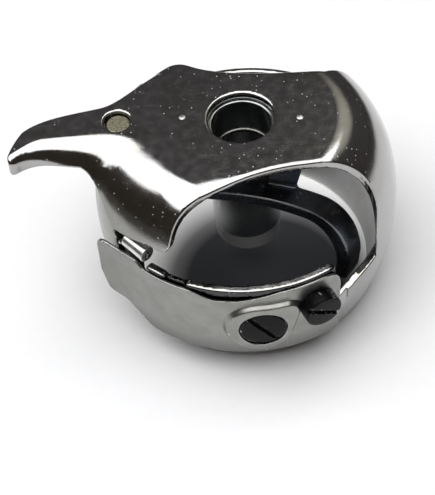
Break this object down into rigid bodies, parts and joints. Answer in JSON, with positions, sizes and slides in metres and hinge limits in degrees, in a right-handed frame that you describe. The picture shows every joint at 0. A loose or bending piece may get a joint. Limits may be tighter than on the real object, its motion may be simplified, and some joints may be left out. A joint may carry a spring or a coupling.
{
  "type": "bobbin case",
  "caption": "Open rotary-hook bobbin case with a bridged face plate, curved horn, centre post, outside tension spring with slotted screws, and a thread roller in its slot.",
  "frame": {"origin": "centre of the whole object's footprint, on the plane of the open rim that the case stands on", "axes": "+Z from the open rim to the face plate, parallel to the centre post; +X along the bridge of the face plate, away from the horn; -Y towards the tension spring"},
  "size_m": [0.0328, 0.027, 0.0184],
  "materials": {
    "chromed_steel": "polished chrome over fine grinding marks",
    "bright_steel": "bright turned",
    "satin_spring_steel": "satin",
    "spring_wire": "drawn wire",
    "aged_brass": "dull, aged",
    "blackened_steel": "blackened, satin",
    "blued_spring_steel": "blued, satin"
  },
  "bodies": {
    "case": {"case_body": "chromed_steel", "centre_post": "bright_steel", "post_rivet_left": "bright_steel", "post_rivet_right": "bright_steel", "post_snap_ring": "spring_wire", "horn_pin": "aged_brass", "fixing_screw": "blackened_steel", "roller_pin": "spring_wire"},
    "regulating_screw": {"tension_screw": "blackened_steel"},
    "tension_leaf": {"tension_spring": "satin_spring_steel"},
    "bow": {"anti_spin_spring": "blued_spring_steel"},
    "roller": {"thread_roller": "bright_steel"}
  },
  "joints": [
    {"name": "tension_screw_turn", "type": "hinge", "parent": "case", "child": "regulating_screw", "pos_m": [0.005, -0.01205, 0.00675], "axis": [0.1409, -0.99, 0], "range_deg": [0, 120]},
    {"name": "tension_spring_flex", "type": "hinge", "parent": "case", "child": "tension_leaf", "pos_m": [0.00965, -0.01102, 0.00675], "axis": [0, 0, 1], "range_deg": [0, 1.5]},
    {"name": "anti_spin_flex", "type": "hinge", "parent": "case", "child": "bow", "pos_m": [-0.00172, 0.00037, 0.01617], "axis": [0, -1, 0], "range_deg": [0, 3], "stiffness_Nm_per_rad": 0.005},
    {"name": "thread_roller_spin", "type": "hinge", "parent": "case", "child": "roller", "pos_m": [-0.00539, -0.00868, 0.0123], "axis": [0.7242, -0.6896, 0], "continuous": true}
  ],
  "couplings": [
    {"joint": "tension_spring_flex", "follows": "tension_screw_turn", "ratio": 0.0125}
  ]
}
